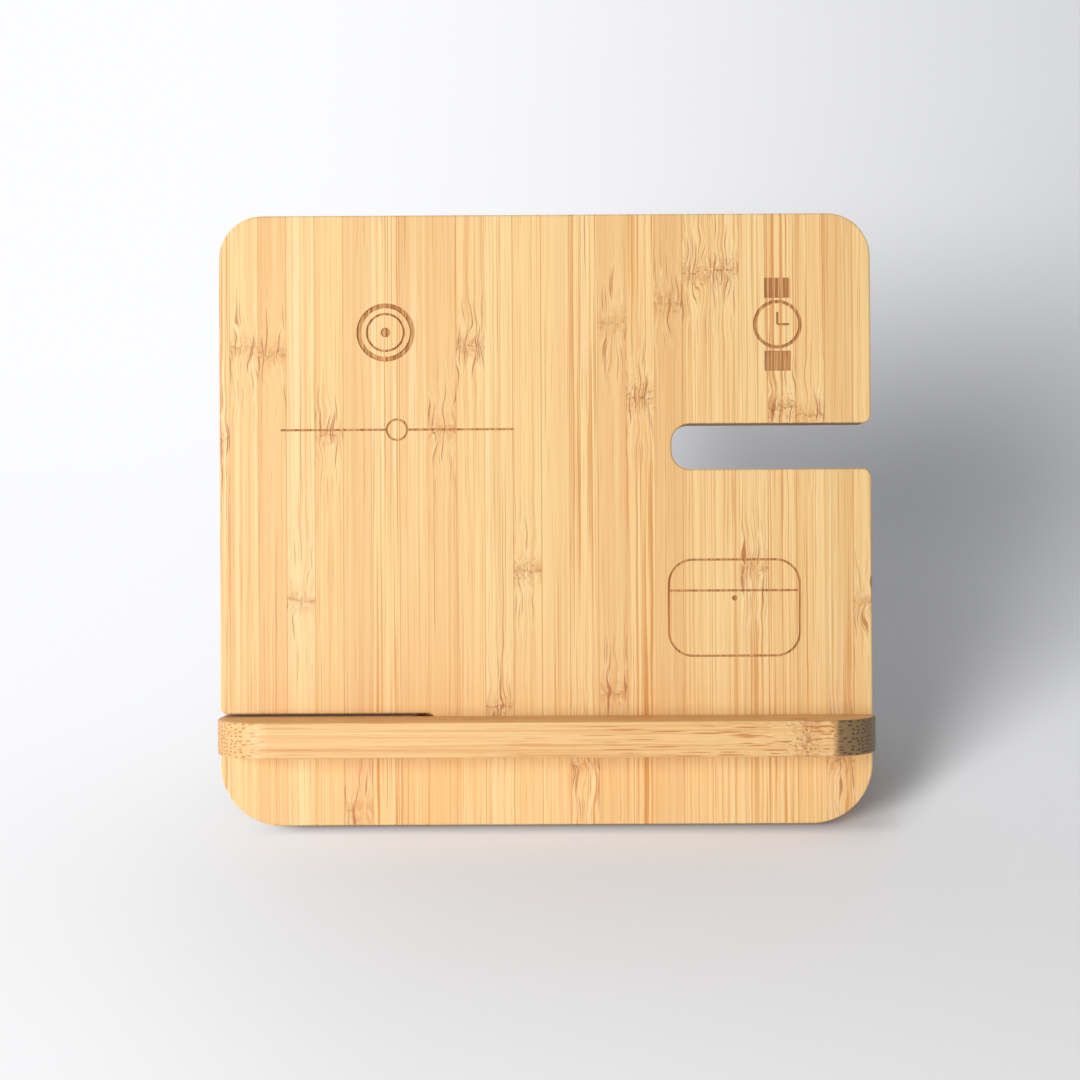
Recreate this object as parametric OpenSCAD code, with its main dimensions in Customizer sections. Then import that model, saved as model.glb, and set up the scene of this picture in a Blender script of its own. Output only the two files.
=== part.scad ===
// Leaning charging stand: a back board and a ledge plate joined by a cross lap,
// with three charging coils and their circuit board under a cover in the back.
// Millimetres. The stand rests on Z = 0 and its front faces -Y.
// The origin is the middle of its base.
// Each piece is drawn flat first: X to the right, Y up the board and Z out of its
// front face, with Z = 0 on that face. stand_up() then leans it back.

/* [Back board] */
// Width of the back board
board_w = 150; // [140:1:180]
// Height of the back board along its face
board_h = 140.4; // [134:0.1:160]
// Thickness of the back board
board_t = 8; // [7:0.5:10]
// Radius of its two top corners
top_corner_r = 10; // [4:0.5:14]
// Radius of its two bottom corners
bottom_corner_r = 14; // [6:0.5:16]

/* [Watch slot] */
// How far the slot lies above the middle between the earbuds and watch coils
watch_slot_lift = 0.4; // [-2:0.1:2]
// Width of the slot, across the strap
watch_slot_h = 10.5; // [8:0.5:13]
// Depth of the slot from the board's right edge
watch_slot_depth = 45.9; // [38:0.1:50]
// Radius of the corners at the slot's closed end
watch_slot_end_r = 4.3; // [1:0.1:4.9]
// Radius of the corners at the slot's mouth
watch_slot_mouth_r = 2; // [0.5:0.1:3]

/* [Ledge plate] */
// Thickness of the ledge plate
ledge_t = 8; // [6:0.5:9]
// How far the ledge stands out in front of the board
ledge_front = 15; // [12:0.5:22]
// Height of the ledge's underside above the board's bottom edge
ledge_u = 17.1; // [15:0.1:20]
// How far the ledge plate reaches behind the board as a foot
foot_reach = 54.9; // [48:0.1:65]
// Radius of the plate's corners
ledge_corner_r = 13; // [4:0.5:14]
// Depth of the flats sanded on the two edges that the stand rests on
foot_flat = 0.6; // [0.3:0.1:1]

/* [Cross lap] */
// Depth of the board's slot from its left edge
lap_depth = 50; // [40:1:60]
// Gap left above the ledge in that slot
lap_gap = 0.6; // [0.4:0.1:1]
// Gap on each side of the board in the plate's slot
lap_side_gap = 0.15; // [0.1:0.05:0.3]
// Radius of the corners at the closed end of the board's slot
lap_end_r = 2.8; // [1:0.1:3.2]
// Radius of the corners at the closed end of the plate's slot
plate_slot_end_r = 2.5; // [1:0.1:3]
// Radius of the corners at the mouth of the board's slot
lap_mouth_r = 1.5; // [0.5:0.1:2]

/* [Rear pocket and cover] */
// Wood left in front of the pocket
front_skin = 2.5; // [2:0.1:3]
// Wood between the cover and the board's side and top edges
cover_side = 6; // [5.5:0.5:8]
// Wood between the cover's lower edge and the ledge plate
cover_gap = 3.4; // [2:0.1:5]
// Wood between the cover and the watch slot
slot_rim = 3.2; // [2:0.1:4]
// Width of the step that the cover lies on
cover_rim = 4.8; // [4.6:0.1:5.2]
// Thickness of the cover
cover_t = 2; // [1.8:0.1:2.4]
// Gap round the cover in its step
cover_fit = 0.2; // [0.1:0.05:0.4]
// Radius of the cover's outer corners
cover_corner_r = 6; // [3:0.5:8]

/* [Control box on the cover] */
// Distance from the cover's left edge to the box
box_from_left = 7; // [5:0.5:9]
// Distance from the cover's lower edge to the box
box_from_bottom = 6; // [5.5:0.5:7]
// Width of the box
box_w = 56; // [54:1:60]
// Height of the box up the board
box_h = 34; // [33:0.5:36]
// Depth of the box behind the board
box_depth = 8.5; // [8:0.1:10]
// Wall of the box
box_wall = 1.6; // [1.2:0.1:2]
// Radius of the box's corners
box_corner_r = 3; // [2.2:0.1:4]

/* [Charging places] */
// Middle of the phone coil, from the board's left edge
phone_from_left = 38.4; // [37:0.1:42]
// Middle of the phone coil, below the board's top edge
phone_from_top = 38.4; // [36:0.1:41]
// Gap between the watch ferrite and the pocket's right wall
watch_gap = 0.6; // [0.3:0.1:3]
// Middle of the earbuds coil, from the board's right edge
buds_from_right = 31.6; // [29:0.1:36]
// Middle of the earbuds coil, above the ledge's top
buds_above_ledge = 24.6; // [23:0.1:25]

/* [Coils] */
// Outer radius of the phone coil
phone_coil_r = 22; // [18:0.5:22]
// Inner radius of the phone coil
phone_coil_in_r = 10; // [8:0.5:12]
// Outer radius of the watch coil
watch_coil_r = 9.5; // [8.5:0.5:11]
// Inner radius of the watch coil
watch_coil_in_r = 4.6; // [4.4:0.1:5]
// Radius of the magnet in the middle of the watch coil
watch_magnet_r = 3.8; // [3:0.1:4.2]
// Outer radius of the earbuds coil
buds_coil_r = 13; // [11:0.5:13.5]
// Inner radius of the earbuds coil
buds_coil_in_r = 6; // [5:0.5:8]
// Thickness of the flat coils
coil_t = 1.2; // [1:0.1:1.4]
// Thickness of the ferrite discs behind the coils
ferrite_t = 0.8; // [0.6:0.1:1]
// How far a ferrite reaches past its coil
ferrite_lip = 0.5; // [0.3:0.1:1]
// How far a foam pad stays inside its ferrite
pad_inset = 2; // [1:0.1:3]
// Diameter of the coil wires
lead_d = 0.9; // [0.6:0.1:1]
// Half the distance between the two wires of a coil
lead_half = 0.8; // [0.7:0.05:1]

/* [Circuit board] */
// Thickness of the circuit board
pcb_t = 1; // [0.8:0.1:1.2]
// Gap between the circuit board and the box's walls
pcb_gap = 0.6; // [0.4:0.1:1]
// How far the circuit board lies behind the back board's rear face
pcb_back = 1.4; // [1.4:0.1:1.8]
// Distance of the board screws from the circuit board's edges
pcb_screw_edge = 3.4; // [3.2:0.1:4]
// Side of the large square chips
chip_side = 6; // [5:0.5:7]
// Height of the chips
chip_h = 0.9; // [0.8:0.1:1.2]
// Side of the power inductors
inductor_side = 6; // [5:0.5:7]
// Height of the power inductors
inductor_h = 3; // [2.5:0.1:3.2]
// Radius of the round capacitors
can_r = 2; // [1.6:0.1:2.2]
// Height of the round capacitors
can_h = 3.6; // [3:0.1:3.8]

/* [Power socket] */
// Outer width of the socket's shell
socket_w = 9; // [8.9:0.1:9.2]
// Outer thickness of the socket's shell
socket_t = 3.2; // [3.1:0.1:3.4]
// Length of the shell
socket_l = 7.4; // [6.5:0.1:9]
// Sheet thickness of the shell
socket_wall = 0.3; // [0.2:0.05:0.35]
// Gap between the shell and the box's wall
socket_gap = 0.25; // [0.15:0.05:0.4]
// Width of the contact tongue
tongue_w = 6.7; // [6:0.1:7]
// Thickness of the contact tongue
tongue_t = 0.7; // [0.6:0.05:0.8]
// Radius of the light guide beside the socket
guide_r = 1; // [0.8:0.1:1.2]
// Distance from the socket's middle to the light guide
guide_from_socket = 8.6; // [7:0.1:10]

/* [Screws] */
// Radius of the cover screws' shank
screw_r = 1.2; // [1:0.05:1.3]
// Length of the shank under the head
screw_l = 4.6; // [4:0.1:5]
// Radius of the cover screws' head
screw_head_r = 2.1; // [1.8:0.1:2.2]
// Height of the cover screws' head
screw_head_h = 1.1; // [0.9:0.1:1.2]
// Gap round the screws in their holes
screw_gap = 0.05; // [0.02:0.01:0.1]
// How much deeper the holes in the wood are than the cover screws
pilot_spare = 0.3; // [0.2:0.1:0.8]
// Distance of the corner screws from the cover's side edges
screw_from_side = 14; // [10:0.5:18]
// Radius of the board screws' shank
board_screw_r = 0.95; // [0.8:0.05:1]
// Radius of the board screws' head
board_screw_head_r = 1.8; // [1.5:0.1:2]
// Height of the board screws' head
board_screw_head_h = 1; // [0.8:0.1:1.2]
// Wall of the bosses that take the board screws
boss_wall = 1.4; // [1.2:0.1:1.6]

/* [Engraved marks] */
// Depth of the burnt marks
mark_depth = 0.35; // [0.2:0.05:0.6]
// Width of a thin engraved line
line_w = 0.5; // [0.3:0.05:0.8]
// Middle of the ring mark, above the middle of the phone coil
ring_above_phone = 11.4; // [9:0.1:13]
// Radius of the ring mark
ring_r = 6.7; // [5:0.1:8]
// Width of the ring mark's outer line
ring_line = 1.1; // [0.6:0.1:1.6]
// Middle of the plain rule, below the middle of the phone coil
rule_below_phone = 11; // [9:0.1:13]
// Middle of the plain rule, from the board's left edge
rule_from_left = 41; // [38:0.1:44]
// Length of the plain rule
rule_l = 53.6; // [40:0.1:58]
// Radius of the small ring in the middle of the rule
rule_ring_r = 2.6; // [1.5:0.1:3]
// Radius of the round watch mark
dial_r = 5.6; // [4:0.1:6.5]
// Width of the dial's line
dial_line = 0.75; // [0.4:0.05:1]
// Width of the strap in the watch mark
strap_w = 6; // [4:0.1:7]
// Length of each strap end in the watch mark
strap_l = 4.6; // [3:0.1:6]
// Width of the earbuds outline
buds_mark_w = 30.6; // [26:0.1:34]
// Height of the earbuds outline
buds_mark_h = 22.6; // [20:0.1:26]
// Corner radius of the earbuds outline
buds_mark_r = 5.8; // [3:0.1:8]
// Distance of the lid line below the top of the earbuds outline
buds_lid = 7.6; // [6:0.1:9]
// Radius of the dot under the lid line
dot_r = 0.6; // [0.4:0.1:1]
// How far that dot is below the lid line
dot_drop = 1.5; // [1.2:0.1:3]

/* [Hidden] */
$fn = 64;

// A cut runs this far past the face that it opens
over = 1;

// The lean comes from the two edges that the stand rests on
lean = atan(ledge_u / foot_reach);
base_y_front = ledge_u * sin(lean) - ledge_front * cos(lean);
base_y_rear = (ledge_u + ledge_t) * sin(lean) + (foot_reach + board_t) * cos(lean);
stand_y = -(base_y_front + base_y_rear) / 2;
stand_z = board_t * sin(lean) - foot_flat;

// Edges of the board and the ledge
left = -board_w / 2;
right = board_w / 2;
ledge_top = ledge_u + ledge_t;
foot_end = board_t + foot_reach;

// Closed ends of the two lap slots, set apart so that their round corners clear
lap_end = left + lap_depth;
plate_slot_end = lap_end - lap_end_r - plate_slot_end_r;

// Edges of the cover and the depth of each layer behind the front face
cover_x0 = left + cover_side;
cover_x1 = right - cover_side;
cover_y0 = ledge_top + cover_gap;
cover_y1 = board_h - cover_side;
cover_front = board_t - cover_t;
coil_back = front_skin + coil_t;
lead_z = -(front_skin + coil_t / 2);
lead_gap = 0.02;
ferrite_back = coil_back + ferrite_t;
pocket_corner_r = 3;
sensor_l = 2.4;
sensor_w = 1.6;
cross_w = 0.6;
cross_l = 2.4;
cross_depth = 0.6;

// The control box and the circuit board in it
box_x0 = cover_x0 + box_from_left;
box_x1 = box_x0 + box_w;
box_y0 = cover_y0 + box_from_bottom;
box_y1 = box_y0 + box_h;
box_back = board_t + box_depth;
pcb_x0 = box_x0 + box_wall + pcb_gap;
pcb_x1 = box_x1 - box_wall - pcb_gap;
pcb_y0 = box_y0 + box_wall + pcb_gap;
pcb_y1 = box_y1 - box_wall - pcb_gap;
pcb_front = board_t + pcb_back;
pcb_rear = pcb_front + pcb_t;
boss_r = board_screw_r + screw_gap + boss_wall;
board_screw_l = 4;

// The rows of parts on the circuit board run between its screws
part_edge = 0.8;
screw_clear = 3;
row_x0 = pcb_x0 + pcb_screw_edge + boss_r + screw_clear;
row_x1 = pcb_x1 - pcb_screw_edge - boss_r - screw_clear;
film_side = 3.2;
film_h = 1.8;

// The power socket, in the box's left wall
socket_y = (box_y0 + box_y1) / 2;
socket_z = pcb_rear + socket_t / 2;
socket_inset = 0.4;
socket_x = box_x0 + socket_inset;
socket_floor = 1.4;
end_flat = 0.01;
tongue_inset = 1;
tongue_l = socket_l - socket_floor - tongue_inset;
guide_z = pcb_rear + guide_r;
guide_reach = 0.6;
guide_l = box_wall + pcb_gap + guide_reach;
led_t = 1;
led_w = 2.4;

// The phone and earbuds places, and the marks above and below the phone coil
phone_x = left + phone_from_left;
phone_u = board_h - phone_from_top;
buds_x = right - buds_from_right;
buds_u = ledge_top + buds_above_ledge;
ring_u = phone_u + ring_above_phone;
rule_x = left + rule_from_left;
rule_u = phone_u - rule_below_phone;

// The watch slot lies between the earbuds coil and the room that the watch coil needs
buds_top = buds_u + buds_coil_r + ferrite_lip;
watch_room = cover_y1 - cover_rim - 2 * (watch_coil_r + ferrite_lip);
watch_slot_u = (buds_top + watch_room) / 2 + watch_slot_lift;
slot_lo = watch_slot_u - watch_slot_h / 2;
slot_hi = watch_slot_u + watch_slot_h / 2;
slot_end = right - watch_slot_depth;
watch_x = cover_x1 - cover_rim - watch_gap - ferrite_lip - watch_coil_r;
watch_u = (cover_y1 + slot_hi + slot_rim) / 2;

// Screw places: four near the corners, one at the left, one beside the watch slot
rim_mid = cover_rim / 2;
cover_screw_spots = [
    [cover_x0 + screw_from_side, cover_y0 + rim_mid],
    [cover_x1 - screw_from_side, cover_y0 + rim_mid],
    [cover_x0 + screw_from_side, cover_y1 - rim_mid],
    [cover_x1 - screw_from_side, cover_y1 - rim_mid],
    [cover_x0 + rim_mid, watch_slot_u],
    [slot_end - slot_rim - rim_mid, watch_slot_u]
];
board_screw_spots = [
    for (x = [pcb_x0 + pcb_screw_edge, pcb_x1 - pcb_screw_edge])
        for (y = [pcb_y0 + pcb_screw_edge, pcb_y1 - pcb_screw_edge]) [x, y]
];

// Colours
wood_colour = [0.93, 0.76, 0.49];
ledge_colour = [0.88, 0.69, 0.42];
cover_colour = [0.12, 0.12, 0.13];
copper_colour = [0.78, 0.42, 0.2];
ferrite_colour = [0.25, 0.25, 0.27];
foam_colour = [0.85, 0.85, 0.82];
steel_colour = [0.72, 0.72, 0.74];
pcb_colour = [0.07, 0.35, 0.18];
chip_colour = [0.08, 0.08, 0.09];
cap_colour = [0.72, 0.58, 0.36];

// Leans a flat drawing back onto its resting edges
module stand_up() {
    translate([0, stand_y, stand_z]) rotate([90 - lean, 0, 0]) children();
}

// A flat layer from depth z0 to depth z1 behind the board's front face
module layer(z0, z1) {
    translate([0, 0, -z1]) linear_extrude(z1 - z0) children();
}

// What a rounded corner takes off a square one at (x, y); the plate lies towards
// (sx, sy) from that corner
module corner_waste(x, y, sx, sy, r) {
    translate([x, y]) difference() {
        translate([sx > 0 ? -over : -r, sy > 0 ? -over : -r]) square(r + over);
        translate([sx * r, sy * r]) circle(r);
    }
}

// A rectangle with four round corners
module rounded_rect(x0, y0, x1, y1, r) {
    difference() {
        translate([x0, y0]) square([x1 - x0, y1 - y0]);
        corner_waste(x0, y0, 1, 1, r);
        corner_waste(x1, y0, -1, 1, r);
        corner_waste(x0, y1, 1, -1, r);
        corner_waste(x1, y1, -1, -1, r);
    }
}

// A flat ring
module ring(x, y, r_out, r_in) {
    translate([x, y]) difference() {
        circle(r_out);
        circle(r_in);
    }
}

// The board's outline with its watch slot and its lap slot
module board_outline() {
    slot_out = right + watch_slot_end_r + over;
    lap_out = left - lap_end_r - over;
    lap_top = ledge_top + lap_gap;
    difference() {
        translate([left, 0]) square([board_w, board_h]);
        corner_waste(left, 0, 1, 1, bottom_corner_r);
        corner_waste(right, 0, -1, 1, bottom_corner_r);
        corner_waste(left, board_h, 1, -1, top_corner_r);
        corner_waste(right, board_h, -1, -1, top_corner_r);
        rounded_rect(slot_end, slot_lo, slot_out, slot_hi, watch_slot_end_r);
        corner_waste(right, slot_hi, -1, 1, watch_slot_mouth_r);
        corner_waste(right, slot_lo, -1, -1, watch_slot_mouth_r);
        rounded_rect(lap_out, ledge_u, lap_end, lap_top, lap_end_r);
        corner_waste(left, lap_top, 1, 1, lap_mouth_r);
        corner_waste(left, ledge_u, 1, -1, lap_mouth_r);
    }
}

// The cover's outline, drawn in by a margin, with its notch round the watch slot
module cover_area(margin, r) {
    grow = slot_rim + margin;
    notch_out = cover_x1 + pocket_corner_r + over;
    difference() {
        rounded_rect(cover_x0 + margin, cover_y0 + margin,
            cover_x1 - margin, cover_y1 - margin, r);
        rounded_rect(slot_end - grow, slot_lo - grow,
            notch_out, slot_hi + grow, pocket_corner_r);
    }
}

// The three engraved marks and the plain rule between them
module marks() {
    ring(phone_x, ring_u, ring_r, ring_r - ring_line);
    ring(phone_x, ring_u, ring_r - 2 * ring_line, ring_r - 2 * ring_line - line_w);
    translate([phone_x, ring_u]) circle(ring_line);
    rule_mark();
    watch_mark();
    buds_mark();
}

module rule_mark() {
    arm_start = rule_ring_r - line_w / 2;
    arm_l = rule_l / 2 - arm_start;
    ring(rule_x, rule_u, rule_ring_r, rule_ring_r - line_w);
    for (side = [-1, 1])
        translate([rule_x + side * (arm_start + arm_l / 2), rule_u])
            square([arm_l, line_w], center = true);
}

module watch_mark() {
    strap_y = dial_r + line_w + strap_l / 2;
    ring(watch_x, watch_u, dial_r, dial_r - dial_line);
    for (side = [-1, 1])
        translate([watch_x, watch_u + side * strap_y])
            square([strap_w, strap_l], center = true);
    translate([watch_x, watch_u]) {
        translate([-line_w / 2, 0]) square([line_w, dial_r / 2]);
        translate([0, -line_w / 2]) square([dial_r / 2, line_w]);
    }
}

module buds_mark() {
    x0 = buds_x - buds_mark_w / 2;
    y0 = buds_u - buds_mark_h / 2;
    x1 = x0 + buds_mark_w;
    y1 = y0 + buds_mark_h;
    lid_y = y1 - buds_lid;
    difference() {
        rounded_rect(x0, y0, x1, y1, buds_mark_r);
        rounded_rect(x0 + line_w, y0 + line_w, x1 - line_w, y1 - line_w,
            buds_mark_r - line_w);
    }
    translate([x0 + line_w / 2, lid_y]) square([buds_mark_w - line_w, line_w]);
    translate([buds_x, lid_y - dot_drop]) circle(dot_r);
}

module back_board() {
    pilot_r = screw_r + screw_gap;
    pilot_l = screw_head_h + screw_l + pilot_spare;
    color(wood_colour) stand_up() difference() {
        layer(0, board_t) board_outline();
        layer(front_skin, board_t + over) cover_area(cover_rim, pocket_corner_r);
        layer(cover_front, board_t + over) cover_area(0, cover_corner_r);
        for (spot = cover_screw_spots)
            translate([spot[0], spot[1], -board_t]) cylinder(h = pilot_l, r = pilot_r);
        translate([0, 0, -mark_depth]) linear_extrude(mark_depth + over) marks();
        ground();
    }
}

// Everything below the table top, drawn in the board's flat frame
module ground() {
    rotate([lean - 90, 0, 0]) translate([0, -stand_y, -stand_z])
        translate([left - over, -board_h, -board_h])
            cube([board_w + 2 * over, 2 * board_h, board_h]);
}

module ledge_plate() {
    slot_out = right + plate_slot_end_r + over;
    color(ledge_colour) stand_up() difference() {
        translate([0, ledge_u, 0]) rotate([-90, 0, 0]) linear_extrude(ledge_t)
            difference() {
                rounded_rect(left, -ledge_front, right, foot_end, ledge_corner_r);
                rounded_rect(plate_slot_end, -lap_side_gap,
                    slot_out, board_t + lap_side_gap, plate_slot_end_r);
            }
        ground();
    }
}

module rear_cover() {
    inner_r = box_corner_r - box_wall;
    color(cover_colour) stand_up() difference() {
        union() {
            difference() {
                union() {
                    layer(cover_front, board_t) cover_area(cover_fit, cover_corner_r);
                    layer(board_t, box_back)
                        rounded_rect(box_x0, box_y0, box_x1, box_y1, box_corner_r);
                }
                layer(cover_front - over, box_back - box_wall)
                    rounded_rect(box_x0 + box_wall, box_y0 + box_wall,
                        box_x1 - box_wall, box_y1 - box_wall, inner_r);
            }
            for (spot = board_screw_spots)
                translate([spot[0], spot[1], -box_back + box_wall / 2])
                    cylinder(h = box_back - box_wall / 2 - pcb_rear, r = boss_r);
        }
        for (spot = cover_screw_spots) translate([spot[0], spot[1], 0]) {
            translate([0, 0, -board_t - over]) cylinder(h = board_t, r = screw_r + cover_fit);
            translate([0, 0, -board_t - over])
                cylinder(h = screw_head_h + over, r = screw_head_r + cover_fit);
        }
        for (spot = board_screw_spots)
            translate([spot[0], spot[1], -pcb_front - board_screw_l])
                cylinder(h = board_screw_l, r = board_screw_r + screw_gap);
        translate([box_x0 - over, socket_y, -socket_z]) rotate([90, 0, 90])
            linear_extrude(box_wall + 2 * over)
                socket_outline(socket_w + 2 * socket_gap, socket_t + 2 * socket_gap);
        translate([box_x0 - over, socket_y - guide_from_socket, -guide_z])
            rotate([0, 90, 0]) cylinder(h = box_wall + 2 * over, r = guide_r + screw_gap);
    }
}

// A shank with a pan head and a cross recess, pointing into the board
module cross_screw(shank_r, shank_l, head_r, head_h) {
    difference() {
        union() {
            cylinder(h = shank_l, r = shank_r);
            translate([0, 0, -head_h]) cylinder(h = head_h, r = head_r);
        }
        for (turn = [0, 90]) rotate(turn)
            translate([-cross_l / 2, -cross_w / 2, -head_h - over])
                cube([cross_l, cross_w, cross_depth + over]);
    }
}

module cover_screws() {
    color(steel_colour) stand_up() for (spot = cover_screw_spots)
        translate([spot[0], spot[1], -board_t + screw_head_h])
            cross_screw(screw_r, screw_l, screw_head_r, screw_head_h);
}

module board_screws() {
    color(steel_colour) stand_up() for (spot = board_screw_spots)
        translate([spot[0], spot[1], -pcb_front]) mirror([0, 0, 1])
            cross_screw(board_screw_r, board_screw_l, board_screw_head_r,
                board_screw_head_h);
}

// A flat wound coil seen as a disc with a hole
module flat_coil(x, y, r_out, r_in) {
    color(copper_colour) stand_up() layer(front_skin, coil_back) ring(x, y, r_out, r_in);
}

module ferrite_disc(x, y, coil_r) {
    color(ferrite_colour) stand_up() layer(coil_back, ferrite_back)
        translate([x, y]) circle(coil_r + ferrite_lip);
}

module foam_pad(x, y, coil_r) {
    color(foam_colour) stand_up() layer(ferrite_back, cover_front)
        translate([x, y]) circle(coil_r + ferrite_lip - pad_inset);
}

// One round wire along straight runs between the points
module wire(points) {
    for (i = [1 : len(points) - 1]) {
        run = points[i] - points[i - 1];
        length = norm(run);
        translate(points[i - 1])
            rotate([0, acos(run[2] / length), atan2(run[1], run[0])])
                cylinder(h = length, d = lead_d);
        if (i < len(points) - 1) translate(points[i]) sphere(d = lead_d);
    }
}

module phone_leads() {
    start_y = phone_u - phone_coil_r - lead_gap;
    end_y = pcb_y1 - pcb_screw_edge;
    color(copper_colour) stand_up() for (side = [-1, 1]) {
        x = phone_x + side * lead_half;
        wire([[x, start_y, lead_z], [x, end_y, lead_z], [x, end_y, -pcb_front]]);
    }
}

module watch_leads() {
    start_x = watch_x - watch_coil_r - lead_gap;
    corner_x = phone_x + phone_coil_r + ferrite_lip + 2 * lead_d + lead_half;
    end_x = pcb_x1 - 2 * pcb_screw_edge;
    end_y = pcb_y1 - 2 * pcb_screw_edge;
    color(copper_colour) stand_up() for (side = [-1, 1]) {
        x = corner_x - side * lead_half;
        y = watch_u + side * lead_half;
        low_y = end_y + side * lead_half;
        wire([[start_x, y, lead_z], [x, y, lead_z], [x, low_y, lead_z],
            [end_x, low_y, lead_z], [end_x, low_y, -pcb_front]]);
    }
}

module buds_leads() {
    start_x = buds_x - buds_coil_r - lead_gap;
    end_x = pcb_x1 - 2 * pcb_screw_edge;
    color(copper_colour) stand_up() for (side = [-1, 1]) {
        y = buds_u + side * lead_half;
        wire([[start_x, y, lead_z], [end_x, y, lead_z], [end_x, y, -pcb_front]]);
    }
}

module phone_coil() {
    flat_coil(phone_x, phone_u, phone_coil_r, phone_coil_in_r);
}

module watch_coil() {
    flat_coil(watch_x, watch_u, watch_coil_r, watch_coil_in_r);
}

module buds_coil() {
    flat_coil(buds_x, buds_u, buds_coil_r, buds_coil_in_r);
}

module watch_magnet() {
    color(steel_colour) stand_up() layer(front_skin, coil_back)
        translate([watch_x, watch_u]) circle(watch_magnet_r);
}

module phone_ferrite() {
    ferrite_disc(phone_x, phone_u, phone_coil_r);
}

module watch_ferrite() {
    ferrite_disc(watch_x, watch_u, watch_coil_r);
}

module buds_ferrite() {
    ferrite_disc(buds_x, buds_u, buds_coil_r);
}

module phone_pad() {
    foam_pad(phone_x, phone_u, phone_coil_r);
}

module watch_pad() {
    foam_pad(watch_x, watch_u, watch_coil_r);
}

module buds_pad() {
    foam_pad(buds_x, buds_u, buds_coil_r);
}

// The heat sensor lies on the ferrite in the middle of the phone coil
module thermistor() {
    sensor_t = coil_t / 2;
    color(chip_colour) stand_up()
        translate([phone_x, phone_u, -coil_back + sensor_t / 2])
            cube([sensor_l, sensor_w, sensor_t], center = true);
}

module circuit_board() {
    color(pcb_colour) stand_up() difference() {
        layer(pcb_front, pcb_rear) translate([pcb_x0, pcb_y0])
            square([pcb_x1 - pcb_x0, pcb_y1 - pcb_y0]);
        for (spot = board_screw_spots)
            translate([spot[0], spot[1], -pcb_rear - over])
                cylinder(h = pcb_t + 2 * over, r = board_screw_r + screw_gap);
    }
}

// Middle of place i of count places of one width, spread evenly from x0 to x1
function spread(i, count, x0, x1, width) =
    x0 + width / 2 + i * (x1 - x0 - width) / (count - 1);

// A square block on the rear of the circuit board
module block(x, y, side, height) {
    translate([x - side / 2, y - side / 2, -pcb_rear - height])
        cube([side, side, height]);
}

module control_chips() {
    x0 = pcb_x0 + socket_l + pcb_screw_edge;
    x1 = pcb_x1 - pcb_screw_edge;
    color(chip_colour) stand_up() for (i = [0 : 2])
        block(spread(i, 3, x0, x1, chip_side), socket_y, chip_side, chip_h);
}

module inductors() {
    row_y = pcb_y1 - part_edge - inductor_side / 2;
    color(ferrite_colour) stand_up() for (i = [0 : 2])
        block(spread(i, 3, row_x0, row_x1, inductor_side), row_y,
            inductor_side, inductor_h);
}

module capacitors() {
    row_y = pcb_y0 + part_edge + can_r;
    color(cap_colour) stand_up() for (i = [0 : 5]) {
        x = spread(i, 6, row_x0, row_x1, 2 * can_r);
        if (i < 3) translate([x, row_y, -pcb_rear - can_h])
            cylinder(h = can_h, r = can_r);
        else block(x, row_y, film_side, film_h);
    }
}

// The socket's oval: w wide with round ends of thickness t
module socket_outline(w, t) {
    rounded_rect(-w / 2, -t / 2, w / 2, t / 2, t / 2 - end_flat);
}

module usb_c_shell() {
    color(steel_colour) stand_up()
        translate([socket_x, socket_y, -socket_z]) rotate([90, 0, 90]) difference() {
            linear_extrude(socket_l) socket_outline(socket_w, socket_t);
            translate([0, 0, -over]) linear_extrude(socket_l - socket_wall + over)
                socket_outline(socket_w - 2 * socket_wall, socket_t - 2 * socket_wall);
        }
}

module usb_c_tongue() {
    floor_x = socket_l - socket_wall - socket_floor;
    color(chip_colour) stand_up()
        translate([socket_x, socket_y, -socket_z]) rotate([90, 0, 90]) {
            translate([0, 0, floor_x]) linear_extrude(socket_floor)
                socket_outline(socket_w - 2 * socket_wall, socket_t - 2 * socket_wall);
            translate([-tongue_w / 2, -tongue_t / 2, floor_x - tongue_l])
                cube([tongue_w, tongue_t, tongue_l]);
        }
}

module status_led() {
    color("white") stand_up()
        translate([box_x0 + guide_l, socket_y - guide_from_socket - led_w / 2,
            -pcb_rear - 2 * guide_r])
            cube([led_t, led_w, 2 * guide_r]);
}

module light_guide() {
    color([0.9, 0.95, 0.98]) stand_up()
        translate([box_x0, socket_y - guide_from_socket, -guide_z])
            rotate([0, 90, 0]) cylinder(h = guide_l, r = guide_r);
}

back_board();
ledge_plate();
rear_cover();
cover_screws();
phone_coil();
phone_ferrite();
phone_pad();
phone_leads();
thermistor();
watch_coil();
watch_magnet();
watch_ferrite();
watch_pad();
watch_leads();
buds_coil();
buds_ferrite();
buds_pad();
buds_leads();
circuit_board();
board_screws();
control_chips();
capacitors();
inductors();
usb_c_shell();
usb_c_tongue();
status_led();
light_guide();
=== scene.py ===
# %% [markdown]
# The object is a bamboo charging stand: a leaning board with a phone, a watch and an earbuds
# place, and a narrow ledge that runs across it and carries on behind it as the foot.
# The solid model comes in first as a fixed frame. Everything here is dressed round it, in
# metres and in the same place, so nothing has to be fitted by eye.

# %% Load the frame
from math import atan, cos, pi, radians, sin

import bmesh
import bpy
from mathutils import Matrix, Quaternion, Vector


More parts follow.
